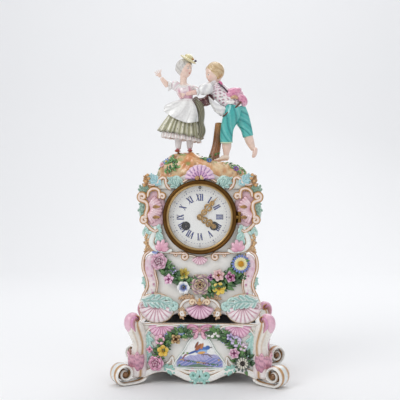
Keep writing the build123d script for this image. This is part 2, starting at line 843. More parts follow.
def corner_leaf():
    """Mint acanthus lying over the top of the scallop and curling in towards the middle."""
    seat = case_front
    blades = []
    for k in range(leaf_blades):
        share = k / (leaf_blades - 1)
        x = leaf_outer - (leaf_outer - leaf_inner) * share
        angle = 60 - 120 * share * share
        outline = leaf_outline(x, leaf_height, leaf_length, leaf_half_width, 90 + angle)
        blades.append(front_prism(outline, seat - shell_thick, seat))
    bar = [(leaf_inner, leaf_height), (leaf_outer, leaf_height),
           (leaf_outer, leaf_height + leaf_half_width * 2), (leaf_inner, leaf_height + leaf_half_width)]
    blades.append(front_prism(bar, seat - relief_thick, seat))
    return cut_by(fused(*blades), corner_shell())


leaf_blades = 5
leaf_overhang = 12.0
leaf_inset = 30.0
leaf_outer = case_half_width + leaf_overhang
leaf_inner = case_half_width - leaf_inset
leaf_rise = 1.0
leaf_height = corner_shell_height + leaf_rise
leaf_length = 9.0
leaf_half_width = 3.6


def apron_shell():
    """Middle scallop of the lower edge with a gilt C-scroll each side."""
    seat = case_front
    scallop = fan((0, apron_shell_height), apron_shell_radius, 180, 360, apron_shell_ribs,
                  shell_thick, seat)
    pieces = [scallop]
    for side in (-1, 1):
        centre = (side * apron_shell_radius, apron_shell_height + bead_radius)
        outline = scroll_outline(centre, apron_shell_radius / 3, 1.1, 90 - 90 * side, side,
                                 apron_shell_radius / 6)
        pieces.append(front_prism(outline, seat - relief_thick, seat))
    return fused(*pieces)


def crest_shell():
    """Scallop that rises over the bezel in front of the mound."""
    scallop = fan((0, crest_shell_height), crest_shell_radius, 0, 180, crest_shell_ribs,
                  crest_shell_thick, case_front)
    return scallop


# Scrolls under the bezel: radius, how far from the middle, height
under_scroll_radius = 7.5
under_scroll_out = 15.0
under_scroll_drop = 9.1
under_scroll_height = dial_height - bezel_outer - under_scroll_drop
under_arm_share = [(1.0, 0.9), (2.6, 1.5), (3.6, 1.0), (4.6, 1.6), (4.6, 0.9), (3.6, 0.4), (2.4, 0.8),
                   (1.0, 0.2)]


def under_scrolls():
    """The pair of gilt scrolls and their arms below the bezel, with the pink drop between."""
    pieces = []
    for side in (-1, 1):
        centre = (side * under_scroll_out, under_scroll_height)
        outline = scroll_outline(centre, under_scroll_radius, 1.1, 90 + 90 * side, -side,
                                 under_scroll_radius / 2)
        pieces.append(front_prism(outline, case_front - relief_thick, case_front))
        arm = [(side * (under_scroll_out + under_scroll_radius * (a - 1)),
                under_scroll_height + under_scroll_radius * b) for a, b in under_arm_share]
        pieces.append(front_prism(arm, case_front - relief_thick, case_front))
    drop = fan((0, under_scroll_height + under_scroll_radius / 2), under_scroll_out, 215, 325, 4,
               relief_thick, case_front)
    keep_off = rod_y(0, dial_height, bezel_outer + clearance, case_front - rocaille_thick - overrun,
                     case_front + overrun)
    return cut_by(fused(drop, *pieces), keep_off)


# Garland: a drooping swag between the pilasters; angles in degrees round its centre
swag_start = 197.0
swag_end = 343.0
swag_steps = 11
swag_droop_share = 0.75
swag_notch_share = 0.62
# Flowers: shares of the swag's radius across and down from its centre, size, petals and kind
garland_share = [
    ("rose_left", -1.02, 0.18, 0.95, 7, "rose"), ("bud_left", -0.75, 0.65, 0.92, 4, "cup"),
    ("lily", -0.39, 0.56, 0.85, 4, "cup"), ("anemone", -0.40, 0.83, 0.95, 5, "cup"),
    ("rose_centre", 0.01, 0.75, 1.2, 8, "rose"), ("tulip", 0.46, 0.53, 0.95, 4, "cup"),
    ("bud_right", 0.73, 0.58, 1.0, 5, "cup"), ("daffodil", 0.46, 0.80, 0.95, 4, "cup"),
    ("daisy", 1.02, 0.23, 1.0, 10, "daisy"),
]


def swag_point(angle, offset):
    """A point at an offset from the swag's drooping curve."""
    turn = math.radians(angle)
    return ((swag_radius + offset) * math.cos(turn),
            swag_height + (swag_fall + offset) * swag_droop_share * math.sin(turn))


def garland_leaves():
    """The leafy bed of the garland: a swag-shaped plate with leaf points along both edges."""
    outer, inner = [], []
    for k in range(2 * swag_steps + 1):
        angle = swag_start + (swag_end - swag_start) * k / (2 * swag_steps)
        tooth = swag_width / 2 * (1.0 if k % 2 else swag_notch_share)
        outer.append(swag_point(angle, tooth))
        inner.append(swag_point(angle, -tooth))
    plate = front_prism(outer + inner[::-1], case_front - swag_thick, case_front)
    return cut_by(plate, under_scrolls(), pilaster(), mirrored(pilaster()), lower_curl(),
                  mirrored(lower_curl()))


def garland_flower(name):
    """One flower of the garland; those at the ends stand off far enough to lie over the pilasters."""
    _, across, down, size, petals, kind = next(row for row in garland_share if row[0] == name)
    radius = size * {"rose": rose_radius, "cup": small_flower_radius, "daisy": daisy_radius}[kind]
    depth = {"rose": rose_depth, "cup": small_flower_depth, "daisy": daisy_depth}[kind]
    seat = case_front - swag_thick
    lift = rocaille_thick + glue_line - swag_thick if abs(across) > 1 else 0
    return flower(swag_radius * across, swag_height - swag_fall * down, seat, radius, depth, petals,
                  flower_kinds[kind], lift=lift)


# The figure group

mound_sides = 14
# Each level of the rocks: how far out, and how high between the case top and the figures' footing
mound_levels_share = [(1.0, 0.0), (1.05, 0.34), (1.0, 0.68), (0.84, 0.94), (0.45, 1.0)]
mound_drop = 12.0             # how much lower the boy's footing is than the lady's
mound_step = 8.0              # half the run between the two footings
rock_share = 0.05


def mound():
    """Rocky ground: higher at the left under the lady, lower at the right under the boy."""
    rings = []
    for level, (reach, up) in enumerate(mound_levels_share):
        ring = []
        for k in range(mound_sides):
            angle = 2 * math.pi * k / mound_sides
            rough = 1 + (rock_share * math.sin(k * 2.7 + level * 1.9) if level else 0)
            x = mound_half_width * reach * rough * math.cos(angle)
            y = mound_half_depth * reach * rough * math.sin(angle)
            right = 0.5 + 0.5 * math.tanh((x - mound_step / 2) / mound_step)
            top = figure_base_height - mound_drop * right
            ring.append((x, y, case_top_height + (top - case_top_height) * up))
        rings.append(ring)
    middle = (0, 0, figure_base_height - mound_drop / 4)
    faces = [flat_face(rings[0])]
    for low, high in zip(rings, rings[1:]):
        for k in range(mound_sides):
            after = (k + 1) % mound_sides
            faces.append(flat_face([low[k], low[after], high[after]]))
            faces.append(flat_face([low[k], high[after], high[k]]))
    for k in range(mound_sides):
        faces.append(flat_face([rings[-1][k], rings[-1][(k + 1) % mound_sides], middle]))
    return cut_by(Solid(Shell(faces)), crest_shell(), shoulder_bracket(), mirrored(shoulder_bracket()))


# Limbs and bodies: each station is x, y, height over the footing and radius, as shares of
# the group's height
lady_bodice_share = [(-0.153, -0.028, 0.538, 0.067), (-0.169, -0.042, 0.627, 0.08),
                     (-0.19, -0.028, 0.683, 0.077), (-0.19, -0.028, 0.72, 0.034),
                     (-0.18, -0.035, 0.785, 0.032)]
lady_head_share = (-0.176, -0.035, 0.845, 0.081)
lady_right_arm_share = [(-0.24, -0.028, 0.685, 0.042), (-0.303, -0.035, 0.676, 0.044),
                        (-0.342, -0.05, 0.673, 0.028), (-0.405, -0.063, 0.746, 0.017),
                        (-0.43, -0.07, 0.785, 0.023), (-0.461, -0.077, 0.792, 0.008)]
lady_left_arm_share = [(-0.14, -0.014, 0.683, 0.035), (-0.063, 0.014, 0.648, 0.03),
                       (0.028, 0.03, 0.676, 0.021)]
lady_legs_share = [
    [(-0.239, -0.042, 0.24, 0.038), (-0.239, -0.042, 0.02, 0.028)],
    [(-0.12, -0.028, 0.24, 0.038), (-0.123, -0.035, 0.02, 0.028)],
    [(-0.232, -0.02, 0.025, 0.034), (-0.27, -0.115, 0.02, 0.02)],
    [(-0.12, -0.014, 0.025, 0.034), (-0.116, -0.105, 0.02, 0.02)],
]
boy_torso_share = [(0.343, 0.007, 0.437, 0.088), (0.254, 0.0, 0.514, 0.085),
                   (0.162, 0.0, 0.6, 0.085), (0.106, 0.0, 0.66, 0.066), (0.11, -0.004, 0.74, 0.04)]
boy_head_share = (0.116, -0.007, 0.803, 0.099)
boy_arms_share = [
    [(0.113, -0.06, 0.648, 0.042), (0.042, -0.085, 0.627, 0.05), (-0.035, -0.092, 0.62, 0.042),
     (-0.06, -0.096, 0.613, 0.023), (-0.155, -0.112, 0.588, 0.02), (-0.225, -0.116, 0.575, 0.017)],
    [(0.1, 0.042, 0.59, 0.035), (-0.014, 0.07, 0.545, 0.035), (-0.095, 0.05, 0.556, 0.02)],
]
boy_breeches_share = [
    [(0.31, -0.021, 0.465, 0.077), (0.261, -0.042, 0.324, 0.07), (0.246, -0.05, 0.113, 0.061)],
    [(0.38, 0.035, 0.45, 0.074), (0.437, 0.056, 0.31, 0.063), (0.472, 0.07, 0.176, 0.053)],
]
boy_legs_share = [
    [(0.246, -0.05, 0.2, 0.034), (0.242, -0.042, 0.028, 0.028), (0.25, -0.03, -0.05, 0.033)],
    [(0.26, -0.02, -0.05, 0.03), (0.19, -0.063, -0.05, 0.026), (0.135, -0.085, -0.06, 0.018)],
    [(0.472, 0.07, 0.21, 0.032), (0.497, 0.077, 0.106, 0.028), (0.52, 0.085, 0.053, 0.022)],
    [(0.516, 0.095, 0.06, 0.026), (0.53, 0.055, 0.01, 0.018), (0.525, 0.028, -0.004, 0.012)],
]
shirt_flap_share = [(0.095, -0.014, 0.54, 0.03), (0.169, -0.014, 0.455, 0.058),
                    (0.25, -0.014, 0.4, 0.045)]
coat_share = [
    [(0.25, 0.035, 0.575, 0.056), (0.338, 0.045, 0.57, 0.063), (0.405, 0.05, 0.52, 0.05),
     (0.43, 0.05, 0.485, 0.02)],
    [(0.35, 0.045, 0.59, 0.03), (0.391, 0.05, 0.635, 0.01)],
]
stump_share = [(0.166, 0.045, 0.303, 0.032), (0.155, 0.045, 0.127, 0.037), (0.13, 0.042, -0.07, 0.052)]
head_levels = 2


def figure_limb(stations_share, sides=6):
    """A limb through stations given as shares of the group's height."""
    stations = []
    for x, y, up, radius in stations_share:
        spot = (group_height * x, group_height * y, figure_base_height + group_height * up)
        stations.append((spot, group_height * radius))
    return limb(stations, sides)


def figure_head(place_share, sides=8):
    """A faceted ball."""
    x, y, up, radius = place_share
    rings = []
    for k in range(1, 2 * head_levels):
        angle = math.pi * k / (2 * head_levels)
        centre = (group_height * x, group_height * y,
                  figure_base_height + group_height * (up - radius * math.cos(angle)))
        wide = group_height * radius * math.sin(angle)
        rings.append(ring_at(centre, wide, wide, sides))
    return lofted(rings)


skirt_folds = 11
skirt_fold_share = 0.07
# Each level from waist to hem: centre across, height, half width and half depth, tilt in degrees
skirt_levels_share = [(-0.153, 0.54, 0.066, 0.062, 0), (-0.17, 0.46, 0.13, 0.12, 4),
                      (-0.19, 0.33, 0.185, 0.165, 8), (-0.214, 0.172, 0.236, 0.19, 10)]
apron_levels_share = [(-0.16, 0.53, 0.085, 0.075, 0), (-0.215, 0.45, 0.16, 0.14, 10),
                      (-0.19, 0.34, 0.16, 0.185, 0), (-0.135, 0.27, 0.115, 0.19, -8)]
skirt_back_share = -0.028


def draped(levels_share, folds, fold_share, shift_share):
    """Cloth rings from waist to hem whose folds deepen downwards."""
    rings = []
    for level, (across, up, half_x, half_y, tilt) in enumerate(levels_share):
        centre = (group_height * across, group_height * (skirt_back_share + shift_share),
                  figure_base_height + group_height * up)
        plane = Plane(origin=centre).rotated((0, tilt, 0))
        ring = []
        for k in range(2 * folds):
            angle = math.pi * (k + 0.5) / folds
            deep = 1 - (fold_share * level / (len(levels_share) - 1) if k % 2 else 0)
            spot = Vector(group_height * half_x * deep * math.cos(angle),
                          group_height * half_y * deep * math.sin(angle), 0)
            ring.append(tuple(plane.from_local_coords(spot)))
        rings.append(ring)
    return lofted(rings)


def lady_skirt():
    """Full gathered skirt, blown out to the left."""
    return draped(skirt_levels_share, skirt_folds, skirt_fold_share, 0)


def lady_apron():
    """Puffed apron over the front of the skirt."""
    puff = draped(apron_levels_share, 7, skirt_fold_share, -0.03)
    behind = box_between((-mound_half_width - group_height, group_height * skirt_back_share,
                          figure_base_height),
                         (mound_half_width, group_height, figure_base_height + group_height))
    return cut_by(puff, lady_skirt(), behind)


hat_tilt = 29.0
hat_place_share = (-0.153, -0.035, 0.951)
hat_levels_share = [(1.0, 0.0), (1.0, 0.2), (0.52, 0.4), (0.44, 1.0)]
hat_sides = 10


def lady_hat():
    """Flat straw hat, tipped down over the forehead."""
    x, y, up = hat_place_share
    base = Plane(origin=(group_height * x, group_height * y, figure_base_height + group_height * up))
    tilted = base.rotated((0, hat_tilt, 0))
    rings = []
    for reach, rise in hat_levels_share:
        ring = []
        for k in range(hat_sides):
            angle = 2 * math.pi * k / hat_sides
            spot = Vector(hat_radius * reach * math.cos(angle), hat_radius * reach * math.sin(angle),
                          hat_thick * (rise - 0.5))
            ring.append(tuple(tilted.from_local_coords(spot)))
        rings.append(ring)
    return lofted(rings)


def lady_figure(ground):
    """Bodice, head, both arms and the legs that show below the skirt."""
    pieces = [figure_limb(lady_bodice_share, 8), figure_head(lady_head_share),
              figure_limb(lady_right_arm_share), figure_limb(lady_left_arm_share)]
    pieces += [figure_limb(leg) for leg in lady_legs_share]
    return cut_by(fused(*pieces), lady_skirt(), lady_apron(), lady_hat(), ground)


def boy_figure(ground, lady):
    """Leaning torso, head, arms, breeches and bare legs, with an arm about the lady's waist."""
    pieces = [figure_limb(boy_torso_share, 8), figure_head(boy_head_share),
              figure_limb(shirt_flap_share)]
    for limbs in (boy_arms_share, boy_breeches_share, boy_legs_share):
        pieces += [figure_limb(one) for one in limbs]
    return cut_by(fused(*pieces), lady, lady_skirt(), lady_apron(), ground)


def coat_tails(boy):
    """The coat's skirts flying up behind."""
    return cut_by(fused(*[figure_limb(one) for one in coat_share]), boy)


def tree_stump(ground, boy):
    """The trunk behind the boy's standing leg."""
    return cut_by(figure_limb(stump_share), ground, boy)


# The movement: going train, strike barrel, motion work

inner_front = front_plate_y + plate_thick
inner_back = inner_front + plate_gap
back_plate_back = inner_back + plate_thick
tooth_above_share = 0.8
tooth_below_share = 1.3


def gear(x, z, module, teeth, front, back, toward, driven=False):
    """A wheel with pointed teeth; toward is the angle of the wheel it meshes with, in degrees."""
    pitch_radius = module * teeth / 2
    step = math.pi / teeth
    turn = math.radians(toward) + (step if driven else 0)
    outline = []
    for k in range(2 * teeth):
        reach = pitch_radius + module * (-tooth_below_share if k % 2 else tooth_above_share)
        outline.append((x + reach * math.cos(turn + k * step), z + reach * math.sin(turn + k * step)))
    return front_prism(outline, front, back)


def along(x, z, distance, angle):
    return (x + distance * math.cos(math.radians(angle)), z + distance * math.sin(math.radians(angle)))


barrel_centre = (barrel_x, dial_height - barrel_drop)
barrel_module = 2 * math.hypot(barrel_x, barrel_drop) / (barrel_teeth + centre_pinion_leaves)
barrel_toward = math.degrees(math.atan2(barrel_drop, -barrel_x))
third_distance = centre_module * (centre_teeth + third_pinion_leaves) / 2
third_centre = along(0, dial_height, third_distance, third_angle)
escape_distance = third_module * (third_teeth + escape_pinion_leaves) / 2
escape_rise = third_centre[1] - dial_height + math.sqrt(escape_distance ** 2 - third_centre[0] ** 2)
escape_toward = math.degrees(math.atan2(dial_height + escape_rise - third_centre[1], -third_centre[0]))
anchor_height = dial_height + anchor_rise
great_front = inner_front + end_shake
great_back = great_front + great_wheel_thick
centre_wheel_front = inner_back - centre_wheel_back_gap
third_wheel_front = inner_front + third_wheel_gap
escape_wheel_front = inner_back - escape_wheel_back_gap
hammer_pivot = along(0, dial_height, hammer_circle, hammer_pivot_angle)


def train_arbor(x, z, front, back):
    return rod_y(x, z, arbor_radius, front, back)


def plate(front, holes):
    """A round movement plate with bores for the arbors that pass through it."""
    disc = rod_y(0, dial_height, plate_radius, front, front + plate_thick)
    tools = [bore_y(x, z, radius + running_clearance, front - overrun, front + plate_thick + overrun)
             for x, z, radius in holes]
    return cut_by(disc, *tools)


def front_plate():
    """Front plate with two ears that reach the case straps."""
    disc = plate(front_plate_y, [(barrel_x, barrel_centre[1], arbor_radius),
                                 (-barrel_x, barrel_centre[1], arbor_radius),
                                 (0, dial_height, arbor_radius)])
    ear = box_between((-strap_inner, front_plate_y, dial_height - strap_half_width),
                      (strap_inner, inner_front, dial_height + strap_half_width))
    middle = rod_y(0, dial_height, plate_radius - overrun, front_plate_y - overrun,
                   inner_front + overrun)
    return fused(disc, cut_by(ear, middle))


def back_plate():
    return plate(inner_back, [(-barrel_x, barrel_centre[1], arbor_radius),
                              (0, anchor_height, arbor_radius),
                              (hammer_pivot[0], hammer_pivot[1], arbor_radius)])


def pillars():
    made = []
    for angle in pillar_angles:
        x, z = along(0, dial_height, pillar_circle, angle)
        made.append(rod_y(x, z, pillar_radius, inner_front, inner_back))
    return group(*made)


def barrel(side):
    """Spring barrel with its great wheel, arbor and winding square; side -1 is the strike's."""
    x, z = side * barrel_centre[0], barrel_centre[1]
    if side > 0:
        wheel = gear(x, z, barrel_module, barrel_teeth, great_front, great_back, barrel_toward)
        drum = rod_y(x, z, barrel_radius, great_back, great_back + barrel_length)
        end = inner_back - end_shake
    else:
        wheel = gear(x, z, barrel_module, barrel_teeth, great_front + barrel_length,
                     great_back + barrel_length, 90)
        drum = rod_y(x, z, barrel_radius, great_front, great_front + barrel_length)
        end = back_plate_back + count_stand_off + wheel_thick
    arbor = rod_y(x, z, arbor_radius, front_plate_y - square_shoulder, end)
    square = box_between((x - square_half, winding_front, z - square_half),
                         (x + square_half, front_plate_y - square_shoulder, z + square_half))
    return fused(wheel, drum, arbor, square)


def count_wheel():
    """Slotted disc on the strike barrel's arbor, behind the back plate."""
    x, z = -barrel_centre[0], barrel_centre[1]
    front = back_plate_back + count_stand_off
    half = count_slot_width / 2 / count_radius
    root = count_radius - count_slot_depth
    outline = []
    for hour in range(1, count_slots + 1):
        turn = 2 * math.pi * hour * (hour + 1) / (count_slots * (count_slots + 1))
        before = 2 * math.pi * (hour - 1) * hour / (count_slots * (count_slots + 1))
        for k in range(1, hour):
            outline.append((count_radius, before + (turn - before) * k / hour))
        outline += [(count_radius, turn - half), (root, turn - half), (root, turn + half),
                    (count_radius, turn + half)]
    points = [(x + reach * math.cos(turn), z + reach * math.sin(turn)) for reach, turn in outline]
    disc = front_prism(points, front, front + wheel_thick)
    return cut_by(disc, bore_y(x, z, arbor_radius, front - overrun, front + wheel_thick + overrun))


def centre_wheel():
    """Centre pinion, centre wheel and the long arbor that carries the minute hand."""
    pinion = gear(0, dial_height, barrel_module, centre_pinion_leaves, great_front - end_shake / 2,
                  great_back + end_shake / 2, barrel_toward + 180, driven=True)
    wheel = gear(0, dial_height, centre_module, centre_teeth, centre_wheel_front,
                 centre_wheel_front + wheel_thick, third_angle)
    arbor = rod_y(0, dial_height, arbor_radius, hand_nut_front + nut_thick / 2, inner_back - end_shake)
    return fused(pinion, wheel, arbor)


def third_wheel():
    x, z = third_centre
    pinion = gear(x, z, centre_module, third_pinion_leaves, centre_wheel_front - end_shake / 2,
                  centre_wheel_front + wheel_thick + end_shake / 2, third_angle + 180, driven=True)
    wheel = gear(x, z, third_module, third_teeth, third_wheel_front, third_wheel_front + wheel_thick,
                 escape_toward)
    return fused(pinion, wheel, train_arbor(x, z, inner_front + end_shake, inner_back - end_shake))


def escape_wheel():
    """Escape pinion and a fine-toothed escape wheel with undercut teeth."""
    z = dial_height + escape_rise
    pinion = gear(0, z, third_module, escape_pinion_leaves, third_wheel_front - end_shake / 2,
                  third_wheel_front + wheel_thick + end_shake / 2, escape_toward + 180, driven=True)
    outline = []
    for k in range(escape_teeth):
        outline.append(along(0, z, escape_tip_radius, 360 * k / escape_teeth))
        outline.append(along(0, z, escape_tip_radius * escape_root_share,
                             360 * (k + escape_lead_share) / escape_teeth))
    wheel = front_prism(outline, escape_wheel_front, escape_wheel_front + wheel_thick)
    return fused(pinion, wheel, train_arbor(0, z, inner_front + end_shake, inner_back - end_shake))


def pallet_anchor():
    """Anchor over the escape wheel, its arbor, and the crutch that hangs behind the back plate."""
    reach = anchor_rise - escape_rise
    right = [(reach * a, anchor_height + reach * b) for a, b in anchor_share]
    left = [(-x, z) for x, z in right[-2:0:-1]]
    anchor = front_prism(right + left, escape_wheel_front, escape_wheel_front + wheel_thick)
    arbor = train_arbor(0, anchor_height, inner_front + end_shake, crutch_back)
    arm = box_between((-crutch_half, crutch_back - wheel_thick, anchor_height - crutch_length),
                      (crutch_half, crutch_back, anchor_height))
    tines = []
    for side in (-1, 1):
        inner = side * (rod_radius + clearance / 2)
        outer = inner + side * crutch_half
        tines.append(box_between((min(inner, outer), crutch_back - wheel_thick,
                                  anchor_height - crutch_length - crutch_half),
                                 (max(inner, outer), rod_y_place + rod_radius,
                                  anchor_height - crutch_length + crutch_half)))
    bridge = box_between((-rod_radius - crutch_half, crutch_back - wheel_thick,
                          anchor_height - crutch_length - crutch_half),
                         (rod_radius + crutch_half, crutch_back,
                          anchor_height - crutch_length + crutch_half))
    return fused(anchor, arbor, arm, bridge, *tines)


def pendulum():
    """Rod with a suspension eye at the top and a lens-shaped bob."""
    eye = tube_y(0, anchor_height, eye_radius, rod_radius + running_clearance,
                 rod_y_place - rod_radius, rod_y_place + rod_radius)
    rod = rod_z(0, rod_y_place, rod_radius, anchor_height - pendulum_length - bob_radius,
                anchor_height - eye_radius + clearance)
    height = anchor_height - pendulum_length
    bob = turned(0, height, [(0, rod_y_place - bob_thick / 2), (bob_radius, rod_y_place - bob_edge / 2),
                             (bob_radius, rod_y_place + bob_edge / 2), (0, rod_y_place + bob_thick / 2)])
    return fused(eye, rod, bob)


def suspension_cock():
    """Bracket at the top of the back plate, with the pin that the pendulum hangs on."""
    block = box_between((-cock_half_width, back_plate_back, anchor_height + cock_rise),
                        (cock_half_width, cock_back, dial_height + cock_top))
    tongue = box_between((-eye_radius, cock_back - plate_thick, anchor_height - eye_radius),
                         (eye_radius, cock_back, anchor_height + cock_rise))
    pin = rod_y(0, anchor_height, rod_radius, crutch_back + clearance, cock_back - plate_thick)
    hole = bore_y(0, dial_height + regulator_rise, regulator_radius + running_clearance,
                  back_plate_back - overrun, cock_back + overrun)
    return cut_by(fused(block, tongue, pin), hole)


def regulator_arbor():
    """Small key-turned arbor that shows in the hole above twelve."""
    return rod_y(0, dial_height + regulator_rise, regulator_radius, winding_front, cock_back + overrun)


def hammer():
    """Hammer arbor through the back plate, an arm down beside the bell, and the head."""
    x, z = hammer_pivot
    arbor = rod_y(x, z, arbor_radius, inner_back - wheel_thick, hammer_back)
    head_x, head_z = along(0, dial_height, hammer_circle, hammer_head_angle)
    head = rod_y(head_x, head_z, hammer_head_radius, hammer_back - hammer_head_length, hammer_back)
    arm = limb([((x, hammer_back - arbor_radius, z), arbor_radius * arm_share),
                ((head_x, hammer_back - arbor_radius, head_z), arbor_radius * arm_share)], 4)
    return fused(arbor, head, arm)


def bell():
    """Cup-shaped bell, open towards the plates."""
    crown = bell_front + bell_depth
    return turned(0, dial_height, [
        (0, crown), (bell_radius * bell_shoulder_share, crown - bell_wall), (bell_radius, bell_front),
        (bell_radius - bell_wall, bell_front),
        (bell_radius * bell_shoulder_share - bell_wall, crown - bell_wall * 2), (0, crown - bell_wall)])


def bell_stand():
    """Post from the back plate and the strap that holds the bell by its middle."""
    x, z = along(0, dial_height, bell_post_circle, bell_post_angle)
    crown = bell_front + bell_depth
    post = rod_y(x, z, arbor_radius, back_plate_back, crown + wheel_thick)
    end = along(0, dial_height, -strap_half_width, bell_post_angle)
    across = (-math.sin(math.radians(bell_post_angle)) * strap_half_width,
              math.cos(math.radians(bell_post_angle)) * strap_half_width)
    strap = front_prism([(end[0] + across[0], end[1] + across[1]), (x + across[0], z + across[1]),
                         (x - across[0], z - across[1]), (end[0] - across[0], end[1] - across[1])],
                        crown, crown + wheel_thick)
    return fused(post, strap)


def cannon_pinion():
    """Minute pipe on the centre arbor with the pinion that drives the motion work."""
    pipe = rod_y(0, dial_height, cannon_radius, minute_hand_front + hand_thick, cannon_back)
    pinion = gear(0, dial_height, motion_module, cannon_leaves, cannon_back - cannon_length, cannon_back,
                  -90)
    return cut_by(fused(pipe, pinion), bore_y(0, dial_height, arbor_radius, -bezel_outer * 2, 0))


minute_arbor_height = dial_height - motion_module * (cannon_leaves + minute_wheel_teeth) / 2
motion_distance = dial_height - minute_arbor_height
hour_module = 2 * motion_distance / (minute_pinion_leaves + hour_wheel_teeth)


def minute_wheel():
    """Minute wheel and its pinion, turning on a stud in the front plate."""
    wheel = gear(0, minute_arbor_height, motion_module, minute_wheel_teeth, cannon_back - wheel_thick,
                 cannon_back - end_shake / 2, 90, driven=True)
    pinion = gear(0, minute_arbor_height, hour_module, minute_pinion_leaves,
                  hour_wheel_front - end_shake / 2, cannon_back - wheel_thick, 90)
    stud = rod_y(0, minute_arbor_height, arbor_radius, cannon_back - end_shake, front_plate_y)
    return fused(wheel, pinion, stud)


def hour_wheel():
    """Hour wheel and the pipe that carries the hour hand."""
    wheel = gear(0, dial_height, hour_module, hour_wheel_teeth, hour_wheel_front,
                 hour_wheel_front + hour_wheel_thick, -90, driven=True)
    pipe = rod_y(0, dial_height, hour_pipe_radius, hour_hand_front + hand_thick,
                 hour_wheel_front + hour_wheel_thick)
    return cut_by(fused(wheel, pipe),
                  bore_y(0, dial_height, cannon_radius + running_clearance, -bezel_outer * 2, 0))


# The dial and its hands, as shares of each hand's length: half width along the hand
hour_hand_share = [(-0.05, 0.13), (0.1, 0.14), (0.22, 0.06), (0.34, 0.13), (0.46, 0.16), (0.58, 0.1),
                   (0.66, 0.05), (0.76, 0.11), (0.88, 0.06), (1.0, 0.0)]
minute_hand_share = [(-0.04, 0.09), (0.08, 0.1), (0.18, 0.04), (0.3, 0.07), (0.42, 0.11), (0.56, 0.07),
                     (0.66, 0.03), (0.74, 0.06), (0.84, 0.03), (1.0, 0.0)]


def hand(length, profile_share, angle, front, bore):
    """A shaped hand pointing at an angle from upright, clockwise, with its boss."""
    turn = math.radians(90 - angle)
    run = (math.cos(turn), math.sin(turn))
    upper = [(length * a, length * b) for a, b in profile_share]
    lower = [(u, -v) for u, v in upper[-2::-1]]
    outline = [(u * run[0] - v * run[1], dial_height + u * run[1] + v * run[0]) for u, v in upper + lower]
    boss = rod_y(0, dial_height, length * profile_share[0][1] * boss_share, front, front + hand_thick)
    return cut_by(fused(front_prism(outline, front, front + hand_thick), boss),
                  bore_y(0, dial_height, bore, front - overrun, front + hand_thick + overrun))


def dial():
    """Enamelled disc with its holes and three feet on the front plate."""
    disc = rod_y(0, dial_height, dial_radius, dial_face_y, dial_face_y + dial_thick)
    holes = [bore_y(0, dial_height, dial_hole_share * hour_pipe_radius, dial_face_y - overrun,
                    dial_face_y + dial_thick + overrun)]
    for side in (-1, 1):
        holes.append(bore_y(side * barrel_x, barrel_centre[1], winding_hole_radius,
                            dial_face_y - overrun, dial_face_y + dial_thick + overrun))
    holes.append(bore_y(0, dial_height + regulator_rise, regulator_radius * 2, dial_face_y - overrun,
                        dial_face_y + dial_thick + overrun))
    feet = []
    for angle in dial_foot_angles:
        x, z = along(0, dial_height, pillar_circle, angle)
        feet.append(rod_y(x, z, regulator_radius, dial_face_y + dial_thick, front_plate_y))
    return group(cut_by(disc, *holes).fuse(*feet))


def bezel_ring():
    """Fixed brass ring on the case front, rebated behind for the dial."""
    dial_front = dial_face_y - clearance / 2
    ring = turned(0, dial_height, [
        (dial_radius + clearance, case_front), (bezel_outer, case_front),
        (bezel_outer, bezel_ring_front), (bezel_inner, bezel_ring_front), (bezel_inner, dial_front),
        (dial_radius + clearance, dial_front)])
    lug = hinge_lug(hinge_out, hinge_knuckle_radius, bezel_ring_front, case_front, -1, bezel_outer)
    bore = pin_bore(hinge_out, hinge_y, dial_height - knuckle_length * 2,
                    dial_height + knuckle_length * 2)
    knuckles = fixed_knuckles(hinge_out, hinge_y, hinge_knuckle_radius, bezel_ring_front, -1)
    return cut_by(fused(ring, lug, *knuckles), bore)


def bezel_door():
    """Hinged glazed bezel, domed in front, with a rebate for the glass and its hinge knuckle."""
    back = bezel_ring_front - bezel_seat_gap
    seat = bezel_door_front + bezel_lip
    ring = turned(0, dial_height, [
        (glass_radius + clearance, back), (bezel_outer, back), (bezel_outer, back - bezel_lip * 3),
        (bezel_outer - bezel_crown, bezel_door_front), (bezel_inner, bezel_door_front),
        (bezel_inner, seat), (glass_radius + clearance, seat)])
    return ring


def door_knuckle():
    """The door's own knuckle between the two fixed ones, with its leaf."""
    outer = rod_z(hinge_out, hinge_y, hinge_knuckle_radius, dial_height - knuckle_length / 2,
                  dial_height + knuckle_length / 2)
    leaf = box_between((bezel_outer - overrun, hinge_y - hinge_knuckle_radius / 2,
                        dial_height - knuckle_length / 2),
                       (hinge_out, hinge_y + hinge_knuckle_radius / 2,
                        dial_height + knuckle_length / 2))
    return fused(outer, leaf)


def pin_bore(x, y, low, high):
    """The tool for a hinge pin's bore along Z."""
    sides = sides_for(hinge_pin_radius)
    radius = (hinge_pin_radius + running_clearance) / math.cos(math.pi / sides)
    face = flat_face([(u, v, low) for u, v in circle_points(x, y, radius, sides)])
    return Solid.extrude(face, Vector(0, 0, high - low))


def hinged_bezel():
    bore = pin_bore(hinge_out, hinge_y, dial_height - knuckle_length, dial_height + knuckle_length)
    return cut_by(fused(bezel_door(), door_knuckle()), bore)


def hinge_pin(x, y):
    reach = knuckle_length * 1.5 + clearance
    return rod_z(x, y, hinge_pin_radius, dial_height - reach, dial_height + reach)


def fixed_knuckles(x, y, radius, seat, ring_side):
    """Two knuckles above and below the door's, with leaves and a lug back to y = seat."""
    made = []
    reach = knuckle_length * 1.5 + clearance
    for side in (-1, 1):
        near = dial_height + side * (knuckle_length / 2 + clearance)
        far = dial_height + side * reach
        low, high = min(near, far), max(near, far)
        made.append(rod_z(x, y, radius, low, high))
        inner, outer = sorted((x - ring_side * radius, x - ring_side * (hinge_pin_radius + clearance)))
        made.append(box_between((inner, min(y, seat), low), (outer, max(y, seat), high)))
    return made


